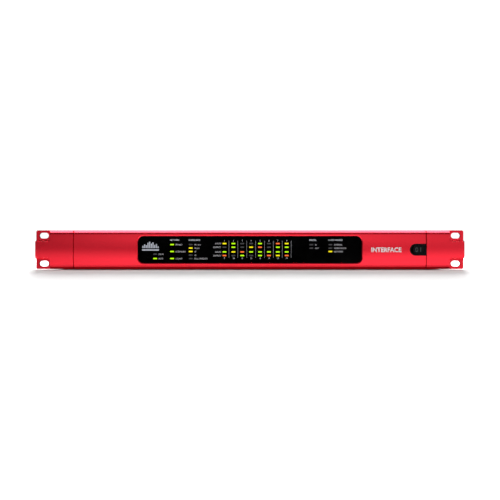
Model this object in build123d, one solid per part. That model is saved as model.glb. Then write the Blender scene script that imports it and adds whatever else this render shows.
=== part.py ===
from build123d import *
import os
from math import cos, radians, sin

# A 1U rack audio interface. +X is right seen from the front, +Y goes back into the rack, +Z is up.
# The origin is the middle of the four-slot rack pattern, on the rear (mounting) face of the ears.
# Millimetres throughout.

# ---- front panel: a centre fascia between two ears
PANEL_WIDTH = 482.6
PANEL_HEIGHT = 43.66
PANEL_DEPTH = 12.6
CROWN = 1.0
BEVEL = 3.4
BEVEL_BLEND = 3.5
SPLIT_X = 198.4
SPLIT_GAP = 0.4
EDGE_BREAK = 0.4
EAR_CORNER = 2.0
EAR_PLATE = 5.0
POCKET_X = 225.8
POCKET_Z = 10.6
POCKET_CORNER = 2.0
POCKET_DRAFT = 11.0
EAR_SEAT = 0.5
EAR_SEAT_GAP = 0.3
EAR_FIXING = (207.5, 13.0)
FASCIA_FIXINGS_AT = ((142.0, 14.0), (172.0, 14.0))
SCREW_ENGAGE = 8.0
RACK_SPACING_X = 465.1
RACK_SPACING_Z = 31.75
RACK_SLOT = (10.6, 6.4)
RACK_SLOT_BREAK = 0.15

# ---- display: window, light guides, board
WINDOW = (252.0, 30.6, 6.7)
WINDOW_FRONT = -11.0
WINDOW_THICK = 2.0
RIM_WIDTH = 1.0
RIM_DEPTH = 0.45
FIT_GAP = 0.05
THROUGH = 1.0
GUIDE_OPENING = (240.0, 26.0, 3.0)
CARRIER_GAP = 0.2
BOARD_RECESS = (262.0, 34.6, 2.0)
BOARD_RECESS_DEPTH = 3.0
BOARD_EDGE_GAP = 0.8
BOARD_SCREW_ENGAGE = 7.5
LIGHT_SOURCE = (2.0, 0.5, 1.2)
LENS = (4.2, 1.5, 0.4)
LENS_GAP = 0.03
LENS_FRONT = -11.05
LENS_REAR = -3.65
METER_X = -28.5
METER_PITCH = 10.0
METER_ROWS = {6.85: "aguugura", 2.75: "uguarugg", -2.53: "garggggg", -6.63: "rugugrar"}
STATUS_COLUMNS = {
    -106.5: {-5.1: "u", -10.0: "g"},
    -87.5: {5.7: "g", -2.1: "g", -10.0: "g"},
    -66.5: {5.7: "u", 1.8: "a", -2.1: "a", -6.1: "u", -10.0: "u"},
    69.2: {5.6: "u", 1.7: "u"},
    90.6: {5.6: "u", 1.7: "u", -2.1: "a"},
}
STATE_NODES = {"g": "lenses_green", "a": "lenses_amber", "r": "lenses_red", "u": "lenses_unlit"}

# ---- power switch
SWITCH_ROUND_X = 186.4
SWITCH_RIGHT_X = SPLIT_X - SPLIT_GAP / 2
SWITCH_RADIUS = 6.6
SWITCH_WALL = 1.4
SWITCH_FRONT = -12.2
PIVOT = (189.1, -6.4)
PIN_RADIUS = 1.0
PIN_FIT = 0.05
ROCKER_TILT = 8.0
ROCKER_GAP = 0.3
ROCKER_HALF = 6.6
SWITCH_WELL_REACH = 3.4
PIN_LAND = 0.5
PIN_END_GAP = 0.1
SWITCH_BODY = (183.2, 197.2, 5.6)
SWITCH_BODY_GAP = 0.4
SWITCH_REAR = 17.0
TERMINAL_X = (185.5, 192.5)
TERMINAL_Z = 2.9
TERMINAL_END = 25.0
WIRE_RADIUS = 1.0
WIRE_BEND = 3.0

# ---- steel case
SHEET = 1.2
CASE_HALF = 217.5
CASE_DEPTH = 250.0
CASE_FLOOR = -PANEL_HEIGHT / 2
INNER_FLOOR = CASE_FLOOR + SHEET
COVER_UNDER = 20.1
FLANGE = 11.0
DISPLAY_ACCESS = (236.0, 27.0, 2.0)
FLANGE_FIXING = 6.5
FLANGE_RELIEF = 3.0
SIDE_FIXING_Z = 15.0
COVER_GAP = 0.1
CUTOUT_GAP = 0.2
VENT_COUNT = 24
VENT_PITCH = 6.5
VENT = (3.0, 20.0)
VENT_START_Y = 52.0

# ---- rear connectors
REAR = CASE_DEPTH
INLET_X = (189.0, 137.0)
ETHERNET_X = (93.0, 62.0)
BNC_X = (38.0, 20.0)
XLR_FEMALE_X = -6.0
XLR_MALE_X = -37.0
FLANGE_D_X = (*ETHERNET_X, XLR_FEMALE_X, XLR_MALE_X)
DSUB_PLACES = [(x, z) for x in (-88.0, -148.0) for z in (8.1, -6.9)]
EARTH = (-196.0, -8.0)
WASHER = 0.8
NUT = 3.2
INLET_FIXING = 20.0
INLET_FLANGE = 3.0
INLET_BODY = (13.5, 9.9, 22.0)
INLET_BLADES = ((-7.0, -2.0), (0.0, 2.0), (7.0, -2.0))
INLET_BLADE = (2.0, 4.0)
BLADE_TAIL = 29.0
BLADE_TIP = 1.5
BLADE_FIT = 0.03
INLET_WELL = 14.0
FLANGE_D = (26.0, 31.0, 2.0)
FLANGE_D_THICK = 3.2
FLANGE_D_HOLES = (9.5, 12.0)
BARREL = 11.9
BARREL_DEPTH = 20.0
FEMALE_BORE = 9.6
MALE_BORE = 8.4
WELL_DEPTH = 16.0
JACK_FACE = 4.0
JACK_SEAT = 16.0
JACK_MOUTH = ((5.9, -3.2, 3.8), (3.2, -4.9, -3.1), (1.7, -6.0, -4.8))
CONTACT_CIRCLE = 4.1
CONTACT_ANGLES = (40, 140, 270)
CUP_BASE = 10.5
LATCH_GAP = 0.3
LATCH_TRAVEL = 1.0
LATCH_PAD = (4.0, 10.5, 14.2)
LATCH_STEM = (2.0, 11.6)
LATCH_REACH = 6.0
LATCH_PROUD = 1.1
BNC_TUBE = (4.8, 4.1, 13.0)
BNC_FLOOR = 2.0
BNC_PIN_HOLE = 0.7
DSUB_POSTS = 47.04
DSUB_PITCH = 2.76
DSUB_ROW = 2.84
DSUB_SKIRT = (38.9, 8.9, 6.3)
DSUB_WALL = 0.45
DSUB_PLATE = 0.9
DSUB_HOUSING = (20.0, 5.5, 10.0)
DSUB_POST_SHANK = 1.45
DSUB_POST_BORE = 1.25

# ---- boards
BOARD_Z = -15.2
BOARD_THICK = 1.6
BOARD_TOP = BOARD_Z + BOARD_THICK
BOARD_CORNER = 5.0
MAIN_BOARD = (-17.0, 103.0, 120.0, 244.0)
CONVERTER_BOARD = (-206.0, -22.0, 100.0, 244.0)
PSU_X = (188.0, 134.0)
PSU_BOARDS = [(x - 25.0, x + 25.0, 45.0, 205.0) for x in PSU_X]
CARD_Z = BOARD_TOP + 7.0
CARD_HEATSINK = (25.0, 55.0, 152.0, 182.0)
RIBBON_X = 10.0
RIBBON_WIDTH = 30.0
RIBBON_THICK = 0.9
RIBBON_Z = -5.0
RIBBON_START_Y = 5.6
RIBBON_HEADER_Y = 126.0
RIBBON_HEADER_TOP = BOARD_TOP + 8.0
M3 = 1.5
M4 = 2.0
M25 = 1.25
SCREW_GAP = 0.05
PAN_HEAD = 1.0
FLAT_HEAD = 0.78
HEAD_RADIUS = 1.85


def box(x0, x1, y0, y1, z0, z1):
    """A block between two corners."""
    return Pos((x0 + x1) / 2, (y0 + y1) / 2, (z0 + z1) / 2) * Box(x1 - x0, y1 - y0, z1 - z0)


def prism_y(sketch, y0, y1, draft=0.0):
    """A sketch drawn in X and Z, swept from y1 forward to y0; a negative draft widens it forward."""
    plane = Plane(origin=(0, y1, 0), x_dir=(1, 0, 0), z_dir=(0, -1, 0))
    return extrude(plane * sketch, amount=y1 - y0, taper=draft)


def rod_y(x, z, radius, y0, y1):
    """A round bar along Y."""
    return prism_y(Pos(x, z) * Circle(radius), y0, y1)


def rod_z(x, y, radius, z0, z1):
    """A round bar along Z."""
    return Pos(x, y, (z0 + z1) / 2) * Cylinder(radius, z1 - z0)


def save(node, *shapes):
    """Writes one node as a group of its separate solids."""
    solids = [solid for shape in shapes for solid in shape.solids()]
    export_step(Compound(children=solids), f"parts/{node}.step")


def cross_recess(radius):
    """The cross-shaped driver recess, centred on the top of a screw head."""
    long_side = 1.9 * radius
    short_side = 0.42 * radius
    return Box(long_side, short_side, radius) + Box(short_side, long_side, radius)


def pan_screw(radius, length):
    """A cross-recess pan-head screw: seat at z = 0, head above it, shank below."""
    head_height = PAN_HEAD * radius
    head = Pos(0, 0, head_height / 2) * Cylinder(HEAD_RADIUS * radius, head_height)
    head = fillet(head.edges().group_by(Axis.Z)[-1], 0.5 * radius)
    shank = Pos(0, 0, -length / 2) * Cylinder(radius, length)
    shank = chamfer(shank.edges().group_by(Axis.Z)[0], 0.3 * radius)
    return head + shank - Pos(0, 0, head_height) * cross_recess(radius)


def flat_screw(radius, length):
    """A countersunk screw whose flat head lies flush with z = 0, shank below."""
    head_height = FLAT_HEAD * radius
    head = Pos(0, 0, -head_height / 2) * Cone(radius, HEAD_RADIUS * radius, head_height)
    shank = Pos(0, 0, -length / 2) * Cylinder(radius, length)
    return head + shank - cross_recess(radius)


def sink(radius, depth):
    """The countersunk clearance hole for a flat screw, cut down from z = 0."""
    gap = SCREW_GAP
    head_height = FLAT_HEAD * radius
    cone = Pos(0, 0, -head_height / 2) * Cone(radius + gap, HEAD_RADIUS * radius + gap, head_height)
    return cone + Pos(0, 0, -depth / 2) * Cylinder(radius + gap, depth)


def place(shape, position, out):
    """Moves a screw so its seat is at position and its head points along out."""
    return Plane(origin=position, z_dir=out) * shape


# ------------------------------------------------------------------ front panel

def panel_section():
    """Section of the front panel: flat back, 45-degree bevels, crowned face, blended edges."""
    half = PANEL_HEIGHT / 2
    edge = CROWN - PANEL_DEPTH
    flat = half - BEVEL
    outline = Polyline((0, -half), (edge + BEVEL, -half), (edge, -flat))
    outline += ThreePointArc((edge, -flat), (-PANEL_DEPTH, 0), (edge, flat))
    outline += Polyline((edge, flat), (edge + BEVEL, half), (0, half), (0, -half))
    section = make_face(outline)
    shoulders = [v for v in section.vertices() if abs(v.X - edge) < 0.01]
    return fillet(shoulders, BEVEL_BLEND)


def panel_bar(x0, x1):
    """A length of the panel section with both end edges broken."""
    plane = Plane(origin=(x0, 0, 0), x_dir=(0, 1, 0), z_dir=(1, 0, 0))
    bar = extrude(plane * panel_section(), amount=x1 - x0)
    ends = [e for e in bar.edges() if e.bounding_box().size.X < 0.01 and e.center().Y < -0.1]
    return chamfer(ends, EDGE_BREAK)


def switch_outline(inset):
    """The D outline of the switch, inset all round."""
    radius = SWITCH_RADIUS - inset
    right = SWITCH_RIGHT_X - inset
    block = Pos((SWITCH_ROUND_X + right) / 2, 0) * Rectangle(right - SWITCH_ROUND_X, 2 * radius)
    return block + Pos(SWITCH_ROUND_X, 0) * Circle(radius)


def window_outline(grow):
    """The rounded outline of the display window, grown all round."""
    width, height, corner = WINDOW
    return RectangleRounded(width + 2 * grow, height + 2 * grow, corner + grow)


def four_ways(x, z):
    """The four mirror images of a place on the panel."""
    return [(sx * x, sz * z) for sx in (-1, 1) for sz in (-1, 1)]


EAR_FIXINGS = four_ways(*EAR_FIXING)
FASCIA_FIXINGS = [spot for fixing in FASCIA_FIXINGS_AT for spot in four_ways(*fixing)]
BOARD_FIXINGS = [*four_ways(125.0, 12.0), (0.0, -14.7), (0.0, 14.7)]


def bevel_rim(body):
    """Bevels the edge of the window's pocket to a rim of even width all round the crowned face."""
    half_width = WINDOW[0] / 2 + 1
    half_height = WINDOW[1] / 2 + 1
    crowned = body.faces().sort_by(SortBy.AREA).filter_by(GeomType.CYLINDER)[-1]
    rim = []
    for edge in crowned.edges():
        middle = edge.center()
        if abs(middle.X) < half_width and abs(middle.Z) < half_height:
            rim.append(edge)
    return chamfer(rim, RIM_WIDTH, RIM_DEPTH, reference=crowned)


def front_fascia():
    """The centre panel with its window, light-guide opening, board recess and switch notch."""
    body = panel_bar(SPLIT_GAP / 2 - SPLIT_X, SPLIT_X - SPLIT_GAP / 2)
    front = -PANEL_DEPTH - THROUGH
    body -= prism_y(window_outline(FIT_GAP), front, WINDOW_FRONT + WINDOW_THICK)
    body = bevel_rim(body)
    body -= prism_y(RectangleRounded(*GUIDE_OPENING), -PANEL_DEPTH, THROUGH)
    body -= prism_y(RectangleRounded(*BOARD_RECESS), -BOARD_RECESS_DEPTH, THROUGH)
    body -= prism_y(switch_outline(-FIT_GAP), front, THROUGH)
    half = SWITCH_RADIUS
    body -= box(SWITCH_RIGHT_X - 1, SWITCH_RIGHT_X + 1, front, THROUGH, -half, half)
    for x, z in FASCIA_FIXINGS:
        body -= rod_y(x, z, M3 + SCREW_GAP, -SCREW_ENGAGE, THROUGH)
    for x, z in BOARD_FIXINGS:
        body -= rod_y(x, z, M25 + SCREW_GAP, -BOARD_SCREW_ENGAGE, THROUGH)
    return body


def ear(side):
    """One end block, side -1 left or +1 right: corner pockets, rack slots, and a seat for the case."""
    body = panel_bar(SPLIT_X + SPLIT_GAP / 2, PANEL_WIDTH / 2)
    plate = RectangleRounded(PANEL_WIDTH, PANEL_HEIGHT, EAR_CORNER)
    body &= prism_y(plate, -PANEL_DEPTH - THROUGH, THROUGH)
    for end in (-1, 1):
        pocket = Pos(POCKET_X + 20, end * (POCKET_Z + 15)) * RectangleRounded(40, 30, POCKET_CORNER)
        body -= prism_y(pocket, -PANEL_DEPTH - THROUGH, -EAR_PLATE, draft=-POCKET_DRAFT)
        mouth = Pos(RACK_SPACING_X / 2, end * RACK_SPACING_Z / 2) * SlotOverall(*RACK_SLOT)
        body -= prism_y(mouth, -EAR_PLATE - THROUGH, THROUGH)
        body -= prism_y(mouth, -EAR_PLATE - RACK_SLOT_BREAK, RACK_SLOT_BREAK - EAR_PLATE, draft=-45)
    body -= box(0, CASE_HALF + EAR_SEAT_GAP, -EAR_SEAT, THROUGH, -PANEL_HEIGHT, PANEL_HEIGHT)
    for x, z in EAR_FIXINGS:
        if x > 0:
            body -= rod_y(x, z, M4 + SCREW_GAP, -SCREW_ENGAGE, THROUGH)
    return body if side > 0 else mirror(body, Plane.YZ)


# ------------------------------------------------------------------ display

def lens_places():
    """Every light guide as (x, z, state)."""
    places = []
    for x, column in STATUS_COLUMNS.items():
        places += [(x, z, state) for z, state in column.items()]
    for z, states in METER_ROWS.items():
        places += [(METER_X + METER_PITCH * i, z, state) for i, state in enumerate(states)]
    return places


def lens_holes():
    """The outlines of all the light-guide channels."""
    width, height, corner = LENS
    hole = RectangleRounded(width + 2 * LENS_GAP, height + 2 * LENS_GAP, corner + LENS_GAP)
    return Sketch() + [Pos(x, z) * hole for x, z, _ in lens_places()]


def display_window():
    """The gloss panel, with one small window for each light guide."""
    panel = prism_y(window_outline(0), WINDOW_FRONT, WINDOW_FRONT + WINDOW_THICK)
    return panel - prism_y(lens_holes(), WINDOW_FRONT - THROUGH, WINDOW_FRONT + WINDOW_THICK + THROUGH)


def light_guide_carrier():
    """The block behind the window that keeps each guide's light to itself."""
    width, height, corner = GUIDE_OPENING
    gap = CARRIER_GAP
    outline = RectangleRounded(width - 2 * gap, height - 2 * gap, corner - gap)
    front = WINDOW_FRONT + WINDOW_THICK + LENS_GAP
    return prism_y(outline, front, LENS_REAR) - prism_y(lens_holes(), front - THROUGH, LENS_REAR + THROUGH)


def lenses(state):
    """The light guides that show one state, each a short rounded bar."""
    return [
        prism_y(Pos(x, z) * RectangleRounded(*LENS), LENS_FRONT, LENS_REAR)
        for x, z, lit in lens_places()
        if lit == state
    ]


def display_board():
    """The circuit board in the back of the fascia."""
    width, height, corner = BOARD_RECESS
    gap = BOARD_EDGE_GAP
    outline = RectangleRounded(width - 2 * gap, height - 2 * gap, corner - gap)
    board = prism_y(outline, -BOARD_RECESS_DEPTH, BOARD_THICK - BOARD_RECESS_DEPTH)
    for x, z in BOARD_FIXINGS:
        board -= rod_y(x, z, M25 + SCREW_GAP, -BOARD_RECESS_DEPTH - THROUGH, THROUGH)
    return board


def display_chips():
    """Light sources in front of the board; driver chips and the cable header behind it."""
    front = -BOARD_RECESS_DEPTH
    rear = front + BOARD_THICK
    source = Box(*LIGHT_SOURCE)
    pieces = [Pos(x, front - LIGHT_SOURCE[1] / 2, z) * source for x, z, _ in lens_places()]
    pieces += [box(x - 5, x + 5, rear, rear + 1.3, -8, 2) for x in range(-100, 101, 40)]
    half = RIBBON_WIDTH / 2 + 2
    pieces.append(box(RIBBON_X - half, RIBBON_X + half, rear, RIBBON_START_Y, RIBBON_Z - 4, RIBBON_Z + 4))
    return pieces


# ------------------------------------------------------------------ power switch

def switch_housing():
    """The D bezel with its well, and the body behind that passes through the front wall."""
    bezel = prism_y(switch_outline(FIT_GAP), SWITCH_FRONT, 0)
    bezel = fillet(bezel.faces().sort_by(Axis.Y)[0].edges(), 0.35)
    left, right, half = SWITCH_BODY
    body = box(left, right, -2, SWITCH_REAR, -half, half)
    well = prism_y(switch_outline(SWITCH_WALL), SWITCH_FRONT - THROUGH, PIVOT[1] + SWITCH_WELL_REACH)
    pin_end = SWITCH_RADIUS - PIN_LAND + PIN_END_GAP
    return bezel + body - well - rod_z(*PIVOT, PIN_RADIUS + PIN_FIT, -pin_end, pin_end)


def switch_rocker():
    """The rocker as it lies when on: its right wing pressed in by the tilt."""
    wing = ROCKER_HALF
    right_side = ((0, -5.2), (wing, -6.3), (wing, -4.6), (3.5, 1.6))
    left_side = [(-x, y) for x, y in reversed(right_side)]
    profile = Polyline(*right_side, *left_side)
    half_height = SWITCH_RADIUS - SWITCH_WALL - ROCKER_GAP
    rocker = extrude(Plane.XY.offset(-half_height) * make_face(profile), amount=2 * half_height)
    round_x = half_height - wing
    flat_side = Pos((wing + round_x) / 2, 0) * Rectangle(wing - round_x, 2 * half_height)
    rocker &= prism_y(flat_side + Pos(round_x, 0) * Circle(half_height), -8, 3)
    pressed = ShapeList(face for face in rocker.faces() if face.normal_at().Y < -0.5)
    ridge = pressed.edges().filter_by(lambda edge: abs(edge.center().X) < 0.5 and abs(edge.center().Z) < 1)
    rocker = fillet([edge for edge in pressed.edges() if edge not in ridge], 0.3)
    pin_end = SWITCH_RADIUS - PIN_LAND
    rocker += rod_z(0, 0, PIN_RADIUS, -pin_end, pin_end)
    return Pos(*PIVOT, 0) * Rot(0, 0, ROCKER_TILT) * rocker


def switch_terminals():
    """Four flat blades at the back of the switch."""
    return [
        box(x - 0.4, x + 0.4, SWITCH_REAR, TERMINAL_END, z - 2.4, z + 2.4)
        for x in TERMINAL_X
        for z in (-TERMINAL_Z, TERMINAL_Z)
    ]


# ------------------------------------------------------------------ steel case

COVER_FIXINGS = [(x, y) for x in (-190.0, 0.0, 190.0) for y in (FLANGE_FIXING, CASE_DEPTH - FLANGE_FIXING)]
SIDE_FIXINGS = [(side, y) for side in (-1, 1) for y in (28.0, 228.0)]
BASE_FIXINGS = [(x, CASE_DEPTH - FLANGE_FIXING) for x in (-120.0, 0.0, 120.0)]


def chassis_tray():
    """Base, two slotted sides and the front wall, folded from one sheet, with a pad behind each ear."""
    wall_top = COVER_UNDER
    inner = CASE_HALF - SHEET
    flange = inner - FLANGE_RELIEF
    tray = box(-CASE_HALF, CASE_HALF, 0, CASE_DEPTH, CASE_FLOOR, INNER_FLOOR)
    tray += box(-inner, inner, 0, SHEET, CASE_FLOOR, wall_top)
    tray += box(-flange, flange, 0, FLANGE, wall_top - SHEET, wall_top)
    wall = box(inner, CASE_HALF, 0, CASE_DEPTH, CASE_FLOOR, wall_top)
    pad = box(SPLIT_X + SPLIT_GAP, CASE_HALF, -EAR_SEAT, 0, CASE_FLOOR, wall_top)
    for piece in (wall, pad):
        tray += piece
        tray += mirror(piece, Plane.YZ)
    slot = Rot(0, 0, 90) * SlotOverall(VENT[1], VENT[0])
    slots = Sketch() + [Pos(VENT_START_Y + VENT_PITCH * i, 0) * slot for i in range(VENT_COUNT)]
    across = Plane(origin=(-CASE_HALF - THROUGH, 0, 0), x_dir=(0, 1, 0), z_dir=(1, 0, 0))
    tray -= extrude(across * slots, amount=2 * (CASE_HALF + THROUGH))
    tray -= prism_y(RectangleRounded(*DISPLAY_ACCESS), -THROUGH, SHEET + THROUGH)
    left, right, half = SWITCH_BODY
    gap = SWITCH_BODY_GAP
    tray -= box(left - gap, right + gap, -THROUGH, SHEET + THROUGH, -half - gap, half + gap)
    for x, z in EAR_FIXINGS:
        tray -= rod_y(x, z, M4 + SCREW_GAP, -THROUGH, SHEET + THROUGH)
    for x, z in FASCIA_FIXINGS:
        tray -= rod_y(x, z, M3 + SCREW_GAP, -THROUGH, SHEET + THROUGH)
    for x, y in COVER_FIXINGS:
        tray -= rod_z(x, y, M3 + SCREW_GAP, wall_top - FLANGE, wall_top + THROUGH)
    for side, y in SIDE_FIXINGS:
        tray -= place(sink(M3, 4), (side * CASE_HALF, y, SIDE_FIXING_Z), (side, 0, 0))
    for x, y in BASE_FIXINGS:
        tray -= place(sink(M3, 4), (x, y, CASE_FLOOR), (0, 0, -1))
    for x, y in standoff_places():
        tray -= place(sink(M3, 4), (x, y, CASE_FLOOR), (0, 0, -1))
    return tray


def top_cover():
    """The lid: a flat sheet with a turned-down lip inside each side wall."""
    inner = CASE_HALF - SHEET - COVER_GAP
    lid = box(-CASE_HALF, CASE_HALF, COVER_GAP, CASE_DEPTH, COVER_UNDER, COVER_UNDER + SHEET)
    lip = box(inner - SHEET, inner, 14, CASE_DEPTH - 14, 10, COVER_UNDER)
    lid = lid + lip + mirror(lip, Plane.YZ)
    for x, y in COVER_FIXINGS:
        lid -= place(sink(M3, 3), (x, y, COVER_UNDER + SHEET), (0, 0, 1))
    for side, y in SIDE_FIXINGS:
        lid -= place(Cylinder(M3 + SCREW_GAP, 12), (side * CASE_HALF, y, SIDE_FIXING_Z), (side, 0, 0))
    return lid


def cover_screws():
    """Countersunk screws of the lid: six on top, two on each side."""
    top = COVER_UNDER + SHEET
    screws = [place(flat_screw(M3, 5), (x, y, top), (0, 0, 1)) for x, y in COVER_FIXINGS]
    for side, y in SIDE_FIXINGS:
        screws.append(place(flat_screw(M3, 5), (side * CASE_HALF, y, SIDE_FIXING_Z), (side, 0, 0)))
    return screws


def panel_screws():
    """Pan-head screws through the front wall: four into the ears, eight into the fascia."""
    ears = [place(pan_screw(M4, 8), (x, SHEET, z), (0, 1, 0)) for x, z in EAR_FIXINGS]
    return ears + [place(pan_screw(M3, 8), (x, SHEET, z), (0, 1, 0)) for x, z in FASCIA_FIXINGS]


def rear_panel():
    """The connector panel, with a forward flange at top and bottom."""
    inner = CASE_HALF - SHEET - COVER_GAP
    flange = inner - FLANGE_RELIEF
    y0 = REAR - SHEET - THROUGH
    y1 = REAR + THROUGH
    panel = box(-inner, inner, REAR - SHEET, REAR, INNER_FLOOR, COVER_UNDER)
    panel += box(-flange, flange, REAR - FLANGE, REAR, COVER_UNDER - SHEET, COVER_UNDER)
    panel += box(-flange, flange, REAR - FLANGE, REAR, INNER_FLOOR, INNER_FLOOR + SHEET)
    half_width = INLET_BODY[0] + CUTOUT_GAP
    half_height = INLET_BODY[1] + CUTOUT_GAP
    for x in INLET_X:
        panel -= box(x - half_width, x + half_width, y0, y1, -half_height, half_height)
        for side in (-1, 1):
            panel -= rod_y(x + side * INLET_FIXING, 0, M3 + SCREW_GAP, y0, y1)
    for x in FLANGE_D_X:
        panel -= rod_y(x, 0, BARREL + CUTOUT_GAP, y0, y1)
    for x, z in flange_fixings():
        panel -= rod_y(x, z, M3 + SCREW_GAP, y0, y1)
    for x in BNC_X:
        panel -= rod_y(x, 0, BNC_TUBE[0] + CUTOUT_GAP, y0, y1)
    half_width, half_height, _ = DSUB_HOUSING
    for x, z in DSUB_PLACES:
        panel -= Pos(x, REAR, z) * Box(2 * half_width + 1.2, 4 * SHEET, 2 * half_height + 2 * CUTOUT_GAP)
        for side in (-1, 1):
            panel -= rod_y(x + side * DSUB_POSTS / 2, z, DSUB_POST_SHANK + SCREW_GAP, y0, y1)
    panel -= rod_y(*EARTH, M4 + SCREW_GAP, y0, y1)
    for x, y in COVER_FIXINGS:
        panel -= rod_z(x, y, M3 + SCREW_GAP, COVER_UNDER - FLANGE, COVER_UNDER + THROUGH)
    for x, y in BASE_FIXINGS:
        panel -= rod_z(x, y, M3 + SCREW_GAP, INNER_FLOOR - THROUGH, INNER_FLOOR + FLANGE / 2)
    return panel


def rear_screws():
    """Countersunk screws from below into the rear panel's bottom flange."""
    return [place(flat_screw(M3, 3.5), (x, y, CASE_FLOOR), (0, 0, -1)) for x, y in BASE_FIXINGS]


# ------------------------------------------------------------------ mains inlets

def inlet(x):
    """A mains inlet: rhombic flange outside, body inside, and the six-sided socket well."""
    half_width, half_height, depth = INLET_BODY
    centre = Pos(x, 0) * Rectangle(30, 22.4)
    ends = [Pos(x + side * INLET_FIXING, 0) * Circle(4.6) for side in (-1, 1)]
    flange = prism_y(make_hull((centre + ends).edges()), REAR, REAR + INLET_FLANGE)
    housing = fillet(flange.faces().sort_by(Axis.Y)[-1].edges(), 0.6)
    housing += box(x - half_width, x + half_width, REAR - depth, REAR, -half_height, half_height)
    right_side = ((12.1, -8.2), (12.1, 3.6), (7.5, 8.2))
    left_side = [(-dx, z) for dx, z in reversed(right_side)]
    well = make_face(Polyline(*right_side, *left_side, right_side[0]))
    housing -= prism_y(Pos(x, 0) * well, REAR - INLET_WELL, REAR + INLET_FLANGE + THROUGH)
    for side in (-1, 1):
        housing -= place(sink(M3, 6), (x + side * INLET_FIXING, REAR + INLET_FLANGE, 0), (0, 1, 0))
    for blade in inlet_blades(x, BLADE_FIT):
        housing -= blade
    return housing


def inlet_blades(x, grow=0.0):
    """The three contact blades of one inlet, with their tails inside the case."""
    width, height = (size + 2 * grow for size in INLET_BLADE)
    reach = BLADE_TIP + BLADE_TAIL
    blade = Box(width, reach, height)
    return [Pos(x + dx, REAR + BLADE_TIP - reach / 2, z) * blade for dx, z in INLET_BLADES]


def inlet_screws():
    """Two countersunk screws for each inlet."""
    seats = [(x + side * INLET_FIXING, REAR + INLET_FLANGE, 0) for x in INLET_X for side in (-1, 1)]
    return [place(flat_screw(M3, 8), seat, (0, 1, 0)) for seat in seats]


# ------------------------------------------------------------------ round connectors

def flange_fixings():
    """The two diagonal screws of every square flange, as (x, z) places."""
    dx, dz = FLANGE_D_HOLES
    return [(x + side * dx, -side * dz) for x in FLANGE_D_X for side in (-1, 1)]


def flange_shell(x, bore, bore_depth, latch):
    """A die-cast connector shell: square flange, barrel behind it, and a well of the given bore."""
    face = REAR + FLANGE_D_THICK
    flange = prism_y(Pos(x, 0) * RectangleRounded(*FLANGE_D), REAR, face)
    shell = fillet(flange.faces().sort_by(Axis.Y)[-1].edges(), 0.5)
    shell += rod_y(x, 0, BARREL, REAR - BARREL_DEPTH, REAR)
    shell -= rod_y(x, 0, bore, face - bore_depth, face + THROUGH)
    for hole_x, hole_z in flange_fixings():
        if abs(hole_x - x) < FLANGE_D[0] / 2:
            shell -= place(sink(M3, 5), (hole_x, face, hole_z), (0, 1, 0))
    if latch:
        shell -= latch_slot(x)
    return shell


def latch_slot(x):
    """The pocket for a push tab, with the deeper slot for its stem."""
    half, low, high = (LATCH_PAD[0] + LATCH_GAP, LATCH_PAD[1] - LATCH_GAP, LATCH_PAD[2] + LATCH_GAP)
    pocket = box(x - half, x + half, REAR, REAR + FLANGE_D_THICK + THROUGH, low, high)
    stem = LATCH_STEM[0] + LATCH_GAP
    return pocket + box(x - stem, x + stem, REAR - LATCH_REACH - 2, REAR + THROUGH, low, high - 1.5)


def latch_tab(x):
    """A push tab: finger pad outside, stem that reaches into the shell."""
    half, low, high = LATCH_PAD
    seat = REAR + LATCH_TRAVEL + LATCH_GAP + 0.1
    pad = box(x - half, x + half, seat, REAR + FLANGE_D_THICK + LATCH_PROUD, low, high)
    pad = fillet(pad.edges().filter_by(Axis.Y), 0.8)
    pad = fillet(pad.faces().sort_by(Axis.Y)[-1].edges(), 0.4)
    stem_half, stem_top = LATCH_STEM
    return pad + box(x - stem_half, x + stem_half, REAR - LATCH_REACH, seat + 1, low, stem_top)


def ethernet_jack(x):
    """The plastic socket inside a network shell: stepped mouth with the tongue notch below."""
    jack = rod_y(x, 0, FEMALE_BORE - FIT_GAP, REAR - JACK_SEAT, REAR - JACK_FACE)
    jack += box(x - 7.5, x + 7.5, REAR - JACK_SEAT - 10, REAR - JACK_SEAT, -5.5, 5.5)
    for half_width, low, high in JACK_MOUTH:
        jack -= box(x - half_width, x + half_width, REAR - JACK_SEAT + 1, REAR, low, high)
    return jack


def xlr_female_insert():
    """The contact block of the female connector, with three sockets and a ring gap round it."""
    block = rod_y(XLR_FEMALE_X, 0, 7.4, REAR + FLANGE_D_THICK - WELL_DEPTH, REAR + 2.2)
    block = fillet(block.faces().sort_by(Axis.Y)[-1].edges(), 0.5)
    for dx, dz in xlr_contacts(1):
        block -= rod_y(XLR_FEMALE_X + dx, dz, 1.35, REAR - 11, REAR + 4)
    return block


def xlr_contacts(turn):
    """Offsets of three contacts on their circle; turn is +1 or -1 for the two genders."""
    radius = CONTACT_CIRCLE
    return [(radius * cos(radians(a)) * turn, radius * sin(radians(a))) for a in CONTACT_ANGLES]


def xlr_male_insert():
    """Moulded disc in the bottom of the male cup, which holds the pins."""
    return rod_y(XLR_MALE_X, 0, MALE_BORE - FIT_GAP, REAR + FLANGE_D_THICK - WELL_DEPTH, REAR - CUP_BASE)


def xlr_male_pins():
    """Three contact pins standing on the disc of the male cup."""
    pins = [rod_y(XLR_MALE_X + dx, dz, 1.2, REAR - CUP_BASE, REAR + 1.5) for dx, dz in xlr_contacts(-1)]
    return [fillet(pin.faces().sort_by(Axis.Y)[-1].edges(), 0.9) for pin in pins]


def flange_screws():
    """Two countersunk screws for each square flange."""
    face = REAR + FLANGE_D_THICK
    return [place(flat_screw(M3, 7), (x, face, z), (0, 1, 0)) for x, z in flange_fixings()]


# ------------------------------------------------------------------ word-clock and D-sub connectors

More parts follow.
